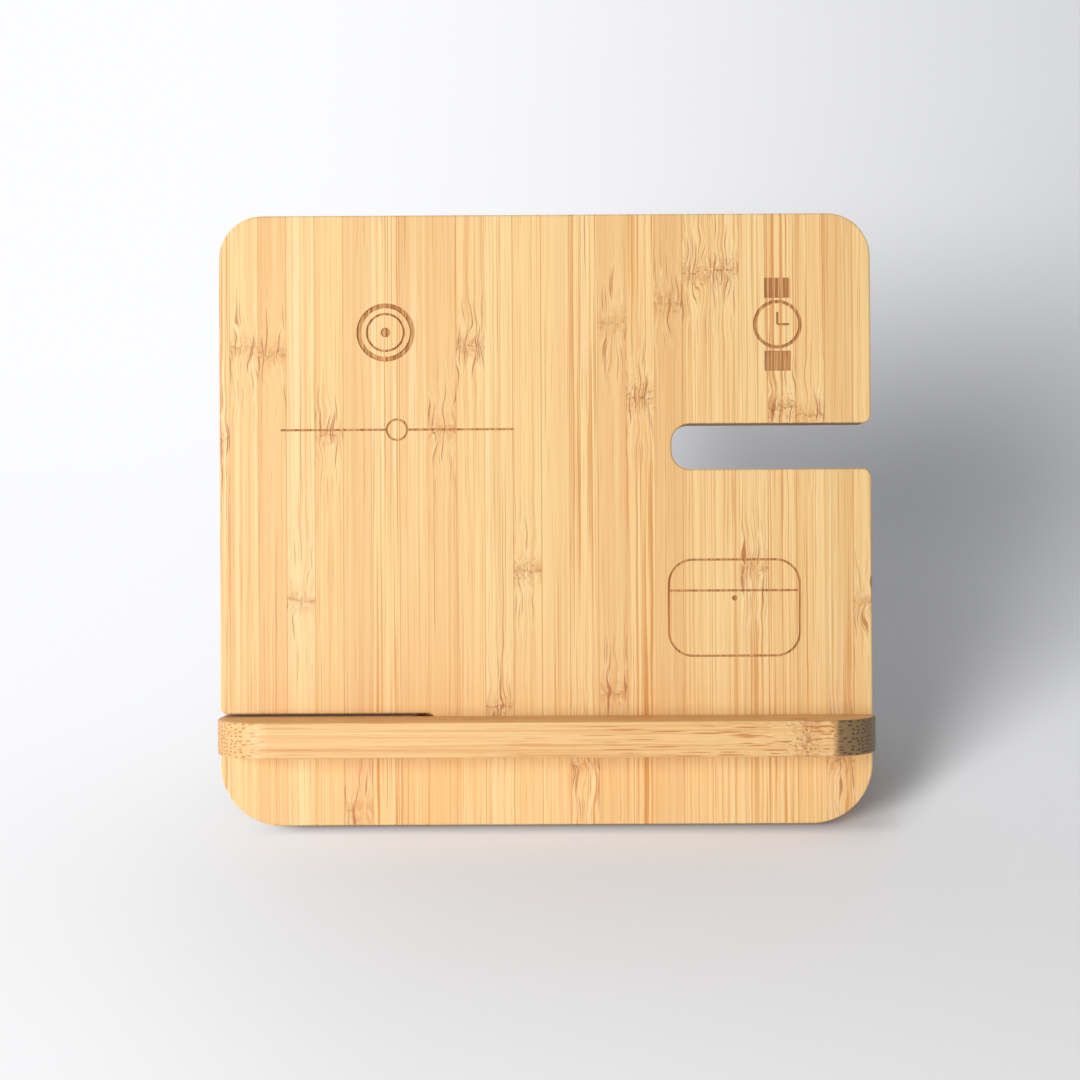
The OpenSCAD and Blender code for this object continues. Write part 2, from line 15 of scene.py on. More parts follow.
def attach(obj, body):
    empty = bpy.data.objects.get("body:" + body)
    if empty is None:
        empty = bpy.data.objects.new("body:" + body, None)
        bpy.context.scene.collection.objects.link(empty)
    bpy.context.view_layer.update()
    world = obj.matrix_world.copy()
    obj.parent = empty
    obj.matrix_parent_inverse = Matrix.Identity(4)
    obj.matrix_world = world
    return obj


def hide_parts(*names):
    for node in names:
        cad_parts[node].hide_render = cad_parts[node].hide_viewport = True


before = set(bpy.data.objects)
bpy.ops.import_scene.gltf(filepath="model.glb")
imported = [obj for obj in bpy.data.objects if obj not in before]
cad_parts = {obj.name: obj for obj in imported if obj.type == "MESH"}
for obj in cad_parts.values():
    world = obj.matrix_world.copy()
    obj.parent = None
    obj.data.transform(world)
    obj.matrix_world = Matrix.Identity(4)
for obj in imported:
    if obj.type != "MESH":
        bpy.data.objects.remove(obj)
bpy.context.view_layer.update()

# %% [markdown]
# All drawing is done flat, as a cabinet maker would lay the board on a bench: x runs across,
# u runs up the board, and d is the depth behind its front face. One matrix then stands the
# flat drawing up at its lean. Putting the lean in the mesh, and not in the object, keeps each
# object at the origin, where a pattern on its coordinates stays still.

# %% Sizes and the lean
MM = 0.001
BOARD_W, BOARD_H, BOARD_T = 150, 140.4, 8
LEDGE_U, LEDGE_T, LEDGE_FRONT = 17.1, 8, 15
FOOT_REACH, FOOT_FLAT = 54.9, 0.6
RIGHT = BOARD_W / 2
LEDGE_TOP = LEDGE_U + LEDGE_T
FOOT_END = BOARD_T + FOOT_REACH
LEAN = atan(LEDGE_U / FOOT_REACH)

front_y = LEDGE_U * sin(LEAN) - LEDGE_FRONT * cos(LEAN)
rear_y = LEDGE_TOP * sin(LEAN) + FOOT_END * cos(LEAN)
STAND = Vector((0, -(front_y + rear_y) / 2, BOARD_T * sin(LEAN) - FOOT_FLAT)) * MM
stand_up = Matrix.Translation(STAND) @ Matrix.Rotation(pi / 2 - LEAN, 4, "X") @ Matrix.Scale(MM, 4)
print("lean", round(LEAN * 180 / pi, 3), "degrees, stands at", [round(v, 5) for v in STAND])

# %% [markdown]
# A flat board with round corners could be traced point by point. It is shorter to join a few
# corner points with one face, pull that face to a thickness, and bevel the upright edges at
# the corners, because a bevel on a square corner is exactly its rounding. The corners with
# one radius are bevelled together.

# %% Make a flat piece from its corners
def corner_edges(work, spots):
    wanted = {(round(x, 2), round(y, 2)) for x, y in spots}
    found = []
    for edge in work.edges:
        a, b = (vert.co for vert in edge.verts)
        upright = (a - b).xy.length < 1e-4
        if upright and (round(a.x, 2), round(a.y, 2)) in wanted:
            found.append(edge)
    return found


def flat_piece(corners, d0, d1, rounds=()):
    work = bmesh.new()
    verts = [work.verts.new((x, y, -d0)) for x, y in corners]
    face = work.faces.new(verts)
    made = bmesh.ops.extrude_face_region(work, geom=[face])
    moved = [part for part in made["geom"] if isinstance(part, bmesh.types.BMVert)]
    bmesh.ops.translate(work, verts=moved, vec=(0, 0, d0 - d1))
    bmesh.ops.recalc_face_normals(work, faces=work.faces)
    for radius, segments, spots in rounds:
        bmesh.ops.bevel(work, geom=corner_edges(work, spots), offset=radius, segments=segments,
                        profile=0.5, affect="EDGES", material=-1)
    return work


# %% [markdown]
# A real edge is never sharp: it was sanded, and the thin line of light along it says so. Only
# the rim of a face is eased here, so the bevel takes the edges between a level face and an
# upright one.

# %% Ease the rim of a face
def ease_rim(work, depths, offset, segments=3):
    rim = []
    for edge in work.edges:
        level = all(min(abs(vert.co.z + d) for d in depths) < 1e-4 for vert in edge.verts)
        if level and len(edge.link_faces) == 2:
            ups = sorted(abs(face.normal.z) for face in edge.link_faces)
            if ups[0] < 0.5 < ups[1]:
                rim.append(edge)
    bmesh.ops.bevel(work, geom=rim, offset=offset, segments=segments, profile=0.5,
                    affect="EDGES", material=-1)


# %% [markdown]
# A finished bmesh becomes an object at the origin. The stand-up matrix goes into its vertices.

# %% Turn a bmesh into an object
def finished(work, name, place=stand_up):
    bmesh.ops.transform(work, matrix=place, verts=work.verts)
    mesh = bpy.data.meshes.new(name)
    work.to_mesh(mesh)
    work.free()
    piece = bpy.data.objects.new(name, mesh)
    bpy.context.scene.collection.objects.link(piece)
    return piece


# %% [markdown]
# Openings, pockets and engraved lines are cut as on a router: the shape of the cutter is
# taken away. The exact solver copes with flat faces that touch. A cutter brings its own
# material with it, so the floor of an engraved line can be burnt wood. The modifier is
# applied at once, which leaves a plain mesh.

# %% Cut one piece with others
def cut(piece, cutters, operation="DIFFERENCE"):
    for cutter in cutters:
        tool = piece.modifiers.new("cut", "BOOLEAN")
        tool.operation = operation
        tool.solver = "EXACT"
        tool.material_mode = "TRANSFER"
        tool.object = cutter
        bpy.context.view_layer.update()
        ready = piece.evaluated_get(bpy.context.evaluated_depsgraph_get())
        mesh = bpy.data.meshes.new_from_object(ready)
        piece.modifiers.remove(tool)
        old, piece.data = piece.data, mesh
        mesh.name = piece.name
        bpy.data.meshes.remove(old)
        shape = cutter.data
        bpy.data.objects.remove(cutter)
        bpy.data.meshes.remove(shape)


# %% [markdown]
# A material is a small program on the surface. Writing it as nodes by hand is slow to read,
# so one class wraps a socket, and plain arithmetic on it adds the Math nodes. Any other node
# comes from its one method, which sets the node up and then fills its sockets.

# %% Write shader maths as expressions
class Grain:
    """One output of a material's nodes, which arithmetic turns into new ones."""

    def __init__(self, tree, socket=None):
        self.tree, self.socket = tree, socket

    def node(self, kind, sockets=None, out=0, stops=None, **settings):
        made = self.tree.nodes.new("ShaderNode" + kind)
        for name, value in settings.items():
            setattr(made, name, value)
        if stops:
            ramp = made.color_ramp
            ramp.interpolation = "CONSTANT" if len(stops[0]) > 2 and stops[0][2] else "LINEAR"
            while len(ramp.elements) < len(stops):
                ramp.elements.new(1.0)
            for element, stop in zip(ramp.elements, stops):
                element.position, element.color = stop[0], (*stop[1], 1)[:4]
        for name, value in (sockets or {}).items():
            if isinstance(value, Grain):
                self.tree.links.new(value.socket, made.inputs[name])
            else:
                made.inputs[name].default_value = value
        return Grain(self.tree, made.outputs[out])

    def maths(self, operation, *values):
        return self.node("Math", dict(enumerate(values)), operation=operation)

    def __add__(self, other): return self.maths("ADD", self, other)
    def __radd__(self, other): return self.maths("ADD", other, self)
    def __sub__(self, other): return self.maths("SUBTRACT", self, other)
    def __rsub__(self, other): return self.maths("SUBTRACT", other, self)
    def __mul__(self, other): return self.maths("MULTIPLY", self, other)
    def __rmul__(self, other): return self.maths("MULTIPLY", other, self)
    def __truediv__(self, other): return self.maths("DIVIDE", self, other)
    def __rtruediv__(self, other): return self.maths("DIVIDE", other, self)
    def __abs__(self): return self.maths("ABSOLUTE", self)
    def __neg__(self): return self.maths("MULTIPLY", self, -1)


# %% [markdown]
# A few words are used in every finish: a soft step between two values, a bell that is 1 at
# the middle and fades out, a mix of two colours, a point made of three numbers, and noise.

# %% Words that every finish shares
def colour(r, g, b):
    return tuple((c / 255 / 12.92) if c <= 10 else ((c / 255 + 0.055) / 1.055) ** 2.4 for c in (r, g, b))


def step(value, low, high):
    return value.node("MapRange", {"Value": value, "From Min": low, "From Max": high},
                      interpolation_type="SMOOTHSTEP")


def bell(distance, width):
    return value_of_e(-1 * (distance / width) * (distance / width))


def value_of_e(value):
    return value.maths("EXPONENT", value)


def blend(mask, first, second):
    pair = {0: mask}
    for place, paint in ((6, first), (7, second)):
        pair[place] = paint if isinstance(paint, Grain) else (*paint, 1)
    return mask.node("Mix", pair, out=2, data_type="RGBA")


def point(x, y, z):
    known = next(part for part in (x, y, z) if isinstance(part, Grain))
    return known.node("CombineXYZ", {0: x, 1: y, 2: z})


def noise(at, scale, detail=2.0, roughness=0.5):
    return at.node("TexNoise", {"Vector": at, "Scale": scale, "Detail": detail,
                                "Roughness": roughness})


# %% [markdown]
# Every finish starts the same way: the object's own coordinates are turned back into the
# flat drawing, in millimetres, so that a strip of bamboo or a turn of wire can be placed by
# the same numbers as the piece. A Mapping node of the Texture kind undoes a placing.

# %% Start a finish
def start_finish(name):
    finish = bpy.data.materials.new(name)
    finish.use_nodes = True
    tree = finish.node_tree
    tree.nodes.clear()
    paint = Grain(tree)
    own = paint.node("TexCoord", out=3)
    flat = own.node("Mapping", {"Vector": own, "Location": STAND, "Rotation": (pi / 2 - LEAN, 0, 0),
                                "Scale": (MM, MM, MM)}, vector_type="TEXTURE")
    parts = [flat.node("SeparateXYZ", {0: flat}, out=i) for i in range(3)]
    return finish, paint, flat, parts


def end_finish(finish, paint, sockets, bump=None, bump_mm=0.05):
    tree = finish.node_tree
    if bump is not None:
        sockets["Normal"] = paint.node("Bump", {"Height": bump, "Strength": 1.0,
                                                "Distance": bump_mm * MM})
    surface = paint.node("BsdfPrincipled", sockets)
    output = tree.nodes.new("ShaderNodeOutputMaterial")
    tree.links.new(surface.socket, output.inputs["Surface"])
    return finish


# %% [markdown]
# Side-pressed bamboo is glued from narrow strips stood on edge. Each strip is a piece of
# another stem, so each has its own tone and its own knuckle, the ring where a leaf grew. The
# table gives, for each strip, the heights of two knuckles, how pitted they are, and how orange
# the strip is. A colour ramp with hard steps reads it: the strip's number goes in, and the
# four values come out as red, green, blue and alpha. A height of 300 is off the board.

# %% Where the knuckles are
BOARD_STRIPS = {
    "width": 6.516, "start": -72.55, "first": -1,
    "knuckles": [
        (88.8, 300, 0.1, 0.5), (110.2, 300, 0.3, 0.45), (108.6, 300, 0.5, 0.7), (52.0, 300, 0.2, 0.15),
        (90.0, 300, 0.2, 0.65), (3.7, 300, 0.2, 0.2), (-60, 300, 0.0, 0.6), (-60, 300, 0.0, 0.5),
        (91.1, 300, 0.2, 0.6), (110.7, 300, 0.4, 0.55), (27.2, 300, 0.2, 0.1), (58.5, 300, 1.0, 0.4),
        (-60, 300, 0.0, 0.35), (14.0, 300, 0.1, 0.45), (115.3, 30.1, 0.4, 0.4), (98.0, 300, 1.0, 0.65),
        (119.9, 300, 0.5, 0.4), (126.6, 300, 0.8, 0.45), (127.4, 300, 0.8, 0.4), (58.5, 300, 0.3, 0.25),
        (95.7, 300, 0.8, 0.55), (93.9, 300, 0.3, 0.7), (14.5, 300, 0.2, 0.25), (50.6, 300, 0.4, 0.5),
        (-60, 300, 0.0, 0.5),
    ],
}
LEDGE_STRIPS = {
    "width": 6.4, "start": -16.4, "first": 0,
    "knuckles": [
        (132.5, 300, 1.0, 0.5), (58, 300, 0.4, 0.3), (97, 300, 0.3, 0.7), (21, 300, 0.2, 0.4),
        (76, 300, 0.6, 0.6), (-60, 300, 0.0, 0.2), (112, 30, 0.2, 0.5), (49, 300, 0.3, 0.8),
        (88, 300, 0.3, 0.3), (13, 300, 0.4, 0.6), (104, 300, 0.2, 0.4), (66, 300, 0.5, 0.7),
        (36, 122, 0.2, 0.5),
    ],
}
FAR_OFF = 400


def knuckle_stops(strips):
    count = len(strips["knuckles"])
    stops = []
    for i, (low, high, pits, orange) in enumerate(strips["knuckles"]):
        stops.append((i / count, ((low + 100) / FAR_OFF, (high + 100) / FAR_OFF, pits, orange), True))
    return stops


print("strips", len(BOARD_STRIPS["knuckles"]), "and", len(LEDGE_STRIPS["knuckles"]))

# %% [markdown]
# Bamboo is thin dark tubes in pale pith, all running one way. Stretched Voronoi cells are
# just that: cut along the grain they are long tapered lines, cut across they are dots, and
# round a corner they turn from one into the other by themselves, as on the ends of the
# ledge. Near a knuckle the tubes bend, darken and end in short dashes.

# %% The bamboo finish
def bamboo(strips, across, along, thick, end, lively, tones, painted_end_shade, dash_length):
    """Returns the colour, the roughness and the height of bamboo in the flat drawing."""
    light, peach, line, char = tones
    place = (across - strips["start"]) / strips["width"]
    number = place.maths("FLOOR", place)
    inside = place - number
    count = len(strips["knuckles"])
    slot = (number - strips["first"] + 0.5) / count
    table = slot.node("ValToRGB", {"Fac": slot}, stops=knuckle_stops(strips))
    heights = [table.node("SeparateColor", {0: table}, out=i) for i in range(3)]
    tone = Grain(table.tree, table.socket.node.outputs["Alpha"])
    luck = number.node("TexWhiteNoise", {"W": number * 1.37 + 5.1}, out=1, noise_dimensions="1D")
    drift, chance = (luck.node("SeparateColor", {0: luck}, out=i) for i in range(1, 3))
    seam = place.maths("ROUND", place)
    seam_luck = seam.node("TexWhiteNoise", {"W": seam * 2.71 + 0.4}, noise_dimensions="1D")

    wobble = 3 * noise(point(across * 0.4, number * 3.7, 0.0), 1.0, 1.0) - 1.5
    low = along + wobble - (heights[0] * FAR_OFF - 100)
    high = along + wobble - (heights[1] * FAR_OFF - 100)
    from_knuckle = low.maths("MINIMUM", abs(low), abs(high))
    wave = noise(point(across * 0.30, along * 0.11, number * 7.3), 1.0, 1.0) - 0.5
    ripple = noise(point(across * 0.9, along * 0.45, number * 3.1), 1.0, 1.0) - 0.5
    level = from_knuckle + 2.4 * ripple
    near = bell(from_knuckle, 12.0)
    close = bell(level, 2.4)
    bend = across + (0.30 + 3.2 * near) * wave + 0.9 * close * ripple

    tubes_at = point(bend, along / 46 + number * 4.7, thick)
    tubes = tubes_at.node("TexVoronoi", {"Vector": tubes_at, "Scale": 1.5, "Randomness": 1.0})
    dashes_at = point(bend, along / dash_length + number * 2.9, thick)
    dashes = dashes_at.node("TexVoronoi", {"Vector": dashes_at, "Scale": 1.9, "Randomness": 1.0})
    dots_at = point(across, thick, 0.0)
    dots = dots_at.node("TexVoronoi", {"Vector": dots_at, "Scale": 1.15, "Randomness": 0.6},
                        voronoi_dimensions="2D")
    fine = noise(point(bend * 2.1, along * 0.008 + number * 3.3, thick * 2.1), 1.0, 2.0, 0.75)
    broad = noise(point(bend * 0.45, along * 0.006 + number * 5.9, thick * 0.4), 1.0, 1.0)
    some = noise(point(bend * 0.6, along * 0.03, number * 2.3), 1.0, 1.0)
    hair = noise(point(bend * 3.1, along * 0.012 + number * 9.1, thick * 3), 1.0, 1.0)

    busy = 0.40 + 0.60 * step(drift, 0.15, 0.75)
    thread = step(fine, 0.51 + 0.06 * chance, 0.59 + 0.06 * chance) * busy
    vein = step(hair, 0.66, 0.72) * step(some, 0.40, 0.56)
    pale = (1 - step(fine, 0.36, 0.47)) * busy
    tube = (1 - step(tubes, 0.08, 0.26)) * (0.30 + 0.70 * step(some, 0.38, 0.62))
    shown = near.maths("MINIMUM", near * 1.25 + lively, 1.0)
    dash = (1 - step(dashes, 0.18, 0.36)) * shown
    rim = step(dashes, 0.32, 0.38) * (1 - step(dashes, 0.38, 0.48)) * near
    joint = step(abs(inside - 0.5), 0.480, 0.496) * (0.10 + 0.90 * seam_luck)
    band = step(tone, 0.55, 0.75) * (1 - step(inside, 0.06, 0.20)) * step(inside, 0.0, 0.02)
    stain = close * step(noise(point(bend * 1.6, along * 0.5, number), 1.0, 2.0), 0.34, 0.60)
    split = step(noise(point(across * 0.5, along * 0.2, number * 2), 1.0, 1.0), 0.44, 0.56)
    crack = bell(from_knuckle, 0.22) * split
    pitting = noise(point(bend * 2.2, along * 1.3, thick * 2), 1.0, 1.0)
    pits = heights[2] * bell(from_knuckle, 3.4) * step(pitting, 0.58, 0.66)

    wood = blend(tone, light, peach)
    wood = blend(0.32 * step(chance, 0.62, 0.95) + 0.26 * step(broad, 0.35, 0.85), wood, line)
    wood = blend(0.60 * pale, wood, colour(255, 229, 178))
    wood = blend(0.90 * thread, wood, line)
    wood = blend(0.80 * vein, wood, colour(208, 128, 52))
    wood = blend(0.30 * band + 0.55 * tube * (1 - end), wood, line)
    wood = blend(0.55 * stain, wood, colour(214, 142, 74))
    wood = blend(0.45 * rim * (1 - end), wood, colour(255, 234, 186))
    wood = blend(0.85 * dash * (1 - end), wood, char)
    wood = blend(0.85 * joint, wood, colour(198, 118, 46))
    wood = blend(0.50 * crack, wood, colour(178, 112, 58))
    wood = blend(0.60 * pits, wood, colour(140, 82, 38))
    # Painted shade: the faces picked out by the last pair of arguments are painted darker, and their end-grain dots
    # darker still.
    wood = blend(0.9 * painted_end_shade[0], wood, painted_end_shade[1])
    char = blend(painted_end_shade[0], char, colour(40, 28, 20))
    wood = blend(0.80 * end * (1 - step(dots, 0.17, 0.32)), wood, char)
    rough = 0.46 + 0.12 * tube + 0.10 * thread + 0.12 * joint
    height = 0.3 * rim - 0.1 * (thread + joint) - 0.6 * dash - 0.2 * (tube + crack) - 0.8 * pits
    return wood, rough, height


def facing(paint, way):
    """1 where the surface faces one way, -1 where it faces the other."""
    normal = paint.node("TexCoord", out=1)
    return paint.node("VectorMath", {0: normal, 1: way}, out=1, operation="DOT_PRODUCT")


LIGHT = colour(252, 218, 156)
PEACH = colour(248, 200, 131)
LINE = colour(219, 150, 77)
CHAR = colour(188, 112, 52)

board_finish, paint, flat, (x, u, z) = start_finish("bamboo_board")
upwards = facing(paint, (0, sin(LEAN), cos(LEAN)))
board_end = step(abs(upwards), 0.25, 0.85)
# Painted shade: the downward faces, such as the slot's underside, are painted a darker brown because the light does
# not reach them.
painted_underside_shade = 1 - step(upwards, -0.95, -0.75)
wood, rough, height = bamboo(BOARD_STRIPS, x, u, z, board_end, 0.0, (LIGHT, PEACH, LINE, CHAR),
                             (0.75 * painted_underside_shade, colour(120, 80, 48)), 24)
end_finish(board_finish, paint, {"Base Color": wood, "Roughness": rough}, height, 0.05)
print("board finish", len(board_finish.node_tree.nodes), "nodes")

# %% [markdown]
# The ledge is the same stock with the grain laid across, so the same finish is read with its
# axes changed over. Its stem was older and a little more orange, and its fibres show more to
# the right. Its right end is dotted where the saw cut the tubes square, and it is painted dark
# there as shade, because that end faces away from the light.

# %% The ledge finish
ledge_finish, paint, flat, (x, u, z) = start_finish("bamboo_ledge")
sideways = facing(paint, (1, 0, 0))
ledge_end = step(abs(x), RIGHT - 12.0, RIGHT - 8.0) * step(abs(sideways), 0.02, 0.12)
# Painted shade on the right end face, which turns away from the light; the left end keeps its pale tone.
painted_right_end_shade = step(x, RIGHT - 11.8, RIGHT - 10.0) * step(sideways, 0.02, 0.08)
lively = step(x, -25.0, 35.0)
wood, rough, height = bamboo(LEDGE_STRIPS, -1 * z, x + RIGHT, u, ledge_end, lively,
                             (colour(249, 206, 143), colour(242, 194, 128), colour(214, 136, 62),
                              colour(202, 112, 42)), (painted_right_end_shade, colour(130, 102, 66)), 30)
end_finish(ledge_finish, paint, {"Base Color": wood, "Roughness": rough}, height, 0.05)
print("ledge finish", len(ledge_finish.node_tree.nodes), "nodes")

# %% [markdown]
# A laser burns the marks into the board. The pith takes only a tan scorch and the tubes char
# darker, so the burnt finish lays brown over the same lines of grain.

# %% The burnt finish
burnt_finish, paint, flat, (x, u, z) = start_finish("bamboo_burnt")
grain_at = point(x * 2.4, u * 0.03, z * 0.2)
streak = step(noise(grain_at, 1.0, 3.0, 0.6), 0.40, 0.66)
soot = noise(point(x, u, z), 3.2, 2.0)
burn = blend(streak, colour(226, 170, 108), colour(172, 108, 58))
burn = blend(0.40 * step(soot, 0.5, 0.75), burn, colour(134, 84, 46))
end_finish(burnt_finish, paint, {"Base Color": burn, "Roughness": 0.75 + 0.1 * streak}, soot - streak, 0.06)

# %% [markdown]
# The board is drawn as twelve corners: its outline goes in and out of the watch slot at the
# right and of the lap slot at the left. Each round is a bevel of its own radius. The rims
# get a narrow eased edge.

# %% The board's outline
SLOT_LO, SLOT_HI, SLOT_END = 81.55, 92.05, 29.1
LAP_TOP, LAP_END = LEDGE_TOP + 0.6, -25
board_corners = [
    (-RIGHT, 0), (RIGHT, 0), (RIGHT, SLOT_LO), (SLOT_END, SLOT_LO), (SLOT_END, SLOT_HI),
    (RIGHT, SLOT_HI), (RIGHT, BOARD_H), (-RIGHT, BOARD_H), (-RIGHT, LAP_TOP), (LAP_END, LAP_TOP),
    (LAP_END, LEDGE_U), (-RIGHT, LEDGE_U),
]
board_rounds = [
    (14, 14, board_corners[0:2]), (10, 12, board_corners[6:8]), (4.3, 10, board_corners[3:5]),
    (2, 6, [board_corners[2], board_corners[5]]), (2.8, 8, board_corners[9:11]),
    (1.5, 5, [board_corners[8], board_corners[11]]),
]
board_mesh = flat_piece(board_corners, 0, BOARD_T, board_rounds)
ease_rim(board_mesh, (0, BOARD_T), 0.45)
board_wood = finished(board_mesh, "board_wood", Matrix.Identity(4))
board_wood.data.materials.append(board_finish)
print("board", len(board_wood.data.polygons), "faces")

# %% [markdown]
# The board's back is routed out for the coils: a shallow step for the cover, a deeper pocket
# inside it, and a pilot hole for each screw. The cutters are flat pieces too.

# %% Cut the pocket
COVER_T, SKIN, RIM, SLOT_RIM = 2, 2.5, 4.8, 3.2
COVER_X, COVER_LO, COVER_HI = 69, LEDGE_TOP + 3.4, BOARD_H - 6


def cover_corners(margin):
    grow = SLOT_RIM + margin
    side = COVER_X - margin
    return [
        (-side, COVER_LO + margin), (side, COVER_LO + margin), (side, SLOT_LO - grow),
        (SLOT_END - grow, SLOT_LO - grow), (SLOT_END - grow, SLOT_HI + grow),
        (side, SLOT_HI + grow), (side, COVER_HI - margin), (-side, COVER_HI - margin),
    ]


def cover_rounds(corners, radius):
    outer = [corners[i] for i in (0, 1, 6, 7)]
    return [(radius, 8, outer), (3, 6, corners[3:5])]


def flat_cutter(name, corners, d0, d1, rounds, material):
    shape = finished(flat_piece(corners, d0, d1, rounds), name, Matrix.Identity(4))
    shape.data.materials.append(material)
    return shape


def round_cutter(name, spot, d0, d1, radius, material, sides=24):
    work = bmesh.new()
    bmesh.ops.create_cone(work, cap_ends=True, segments=sides, radius1=radius, radius2=radius,
                          depth=d1 - d0)
    bmesh.ops.translate(work, verts=work.verts, vec=(spot[0], spot[1], -(d0 + d1) / 2))
    shape = finished(work, name, Matrix.Identity(4))
    shape.data.materials.append(material)
    return shape


step_corners, pocket_corners = cover_corners(0), cover_corners(RIM)
slot_side = SLOT_END - SLOT_RIM - RIM / 2
SLOT_MID = (SLOT_LO + SLOT_HI) / 2
COVER_SCREWS = [(-55, COVER_LO + RIM / 2), (55, COVER_LO + RIM / 2), (-55, COVER_HI - RIM / 2),
                (55, COVER_HI - RIM / 2), (-COVER_X + RIM / 2, SLOT_MID), (slot_side, SLOT_MID)]
cut(board_wood, [
    flat_cutter("step", step_corners, BOARD_T - COVER_T, BOARD_T + 1, cover_rounds(step_corners, 6), board_finish),
    flat_cutter("pocket", pocket_corners, SKIN, BOARD_T + 1, cover_rounds(pocket_corners, 3), board_finish),
    *[round_cutter("pilot", spot, 2, BOARD_T + 1, 1.25, board_finish) for spot in COVER_SCREWS],
])
print("board with its pocket", len(board_wood.data.polygons), "faces")

# %% [markdown]
# The marks show where each device goes: rings for the phone, a round watch, an earbuds case,
# and a plain rule with a ring under the phone's rings. A ring is made by spinning a small
# square profile a full turn.

# %% Shapes of the marks
MARK, LINE_W = 0.35, 0.5
PHONE, WATCH, BUDS = (-36.6, 102), (53.6, (COVER_HI + SLOT_HI + SLOT_RIM) / 2), (43.4, 49.7)


def ring_mark(spot, outer, inner, sides=64):
    work = bmesh.new()
    corners = [(outer, MARK), (outer, -MARK), (inner, -MARK), (inner, MARK)]
    verts = [work.verts.new((x, 0, z)) for x, z in corners]
    profile = [work.edges.new((verts[i], verts[(i + 1) % 4])) for i in range(4)]
    bmesh.ops.spin(work, geom=verts + profile, cent=(0, 0, 0), axis=(0, 0, 1), angle=2 * pi,
                   steps=sides, use_merge=True)
    bmesh.ops.recalc_face_normals(work, faces=work.faces)
    bmesh.ops.translate(work, verts=work.verts, vec=(spot[0], spot[1], 0))
    return work


def box_mark(x0, y0, x1, y1):
    return flat_piece([(x0, y0), (x1, y0), (x1, y1), (x0, y1)], -MARK, MARK)


def frame_mark(x0, y0, x1, y1, radius):
    work = flat_piece([(x0, y0), (x1, y0), (x1, y1), (x0, y1)], -MARK, MARK,
                      [(radius, 10, [(x0, y0), (x1, y0), (x1, y1), (x0, y1)])])
    level = [face for face in work.faces if abs(face.normal.z) > 0.9]
    bmesh.ops.inset_region(work, faces=level, thickness=LINE_W, use_even_offset=True)
    inner = [face for face in work.faces if abs(face.normal.z) > 0.9 and len(face.verts) > 4]
    rims = [list(face.edges) for face in inner]
    bmesh.ops.delete(work, geom=inner, context="FACES_ONLY")
    bmesh.ops.bridge_loops(work, edges=rims[0] + rims[1])
    bmesh.ops.recalc_face_normals(work, faces=work.faces)
    return work


# %% [markdown]
# The numbers place each mark by the coil under it.

# %% Engrave the marks
RINGS = (PHONE[0], PHONE[1] + 11.4)
RULE = (-34, PHONE[1] - 11)
DIAL, STRAP_W, STRAP_L = 5.6, 6, 4.6
arm_in, arm_out = 2.6 - LINE_W / 2, 26.8
case = (BUDS[0] - 15.3, BUDS[1] - 11.3, BUDS[0] + 15.3, BUDS[1] + 11.3)
lid = case[3] - 7.6

marks = [
    ring_mark(RINGS, 6.7, 5.6), ring_mark(RINGS, 4.5, 4.0),
    ring_mark(RULE, 2.6, 2.1),
    box_mark(RULE[0] + arm_in, RULE[1] - LINE_W / 2, RULE[0] + arm_out, RULE[1] + LINE_W / 2),
    box_mark(RULE[0] - arm_out, RULE[1] - LINE_W / 2, RULE[0] - arm_in, RULE[1] + LINE_W / 2),
    ring_mark(WATCH, DIAL, DIAL - 0.75),
    frame_mark(*case, 5.8),
    box_mark(case[0] + LINE_W / 2, lid, case[2] - LINE_W / 2, lid + LINE_W),
    box_mark(WATCH[0] - LINE_W / 2, WATCH[1], WATCH[0] + LINE_W / 2, WATCH[1] + DIAL / 2),
    box_mark(WATCH[0], WATCH[1] - LINE_W / 2, WATCH[0] + DIAL / 2, WATCH[1] + LINE_W / 2),
]
for side in (-1, 1):
    middle = WATCH[1] + side * (DIAL + LINE_W + STRAP_L / 2)
    marks.append(box_mark(WATCH[0] - STRAP_W / 2, middle - STRAP_L / 2, WATCH[0] + STRAP_W / 2,
                          middle + STRAP_L / 2))
cutters = [finished(mark, "mark", Matrix.Identity(4)) for mark in marks]
for shape in cutters:
    shape.data.materials.append(burnt_finish)
dots = [round_cutter("dot", RINGS, -MARK, MARK, 1.1, burnt_finish, 32),
        round_cutter("dot", (BUDS[0], lid - 1.5), -MARK, MARK, 0.6, burnt_finish, 20)]
cut(board_wood, cutters + dots)
print("board with its marks", len(board_wood.data.polygons), "faces")

# %% [markdown]
# The board stands on its lower rear edge, which is planed flat where it meets the table. The
# mesh is stood up and everything below the table top is sliced off with a plane.

# %% Stand a piece up and plane its foot
def stand_and_plane(piece):
    work = bmesh.new()
    work.from_mesh(piece.data)
    bmesh.ops.transform(work, matrix=stand_up, verts=work.verts)
    bmesh.ops.bisect_plane(work, geom=[*work.verts, *work.edges, *work.faces], dist=1e-7,
                           plane_co=(0, 0, 0), plane_no=(0, 0, 1), clear_inner=True)
    bmesh.ops.holes_fill(work, edges=[edge for edge in work.edges if edge.is_boundary])
    bmesh.ops.recalc_face_normals(work, faces=work.faces)
    work.to_mesh(piece.data)
    open_edges = sum(edge.is_boundary for edge in work.edges)
    work.free()
    for face in piece.data.polygons:
        face.use_smooth = False
    print(piece.name, "stands;", len(piece.data.polygons), "faces,", open_edges, "open edges")


stand_and_plane(board_wood)
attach(board_wood, "board")
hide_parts("back_board")

# %% [markdown]
# The ledge is one plate. It goes through the board in a cross lap, so its slot opens at the
# right, and the rest of it is the foot behind. It is drawn in plan, from above, and turned
# so that its thickness runs up the board.

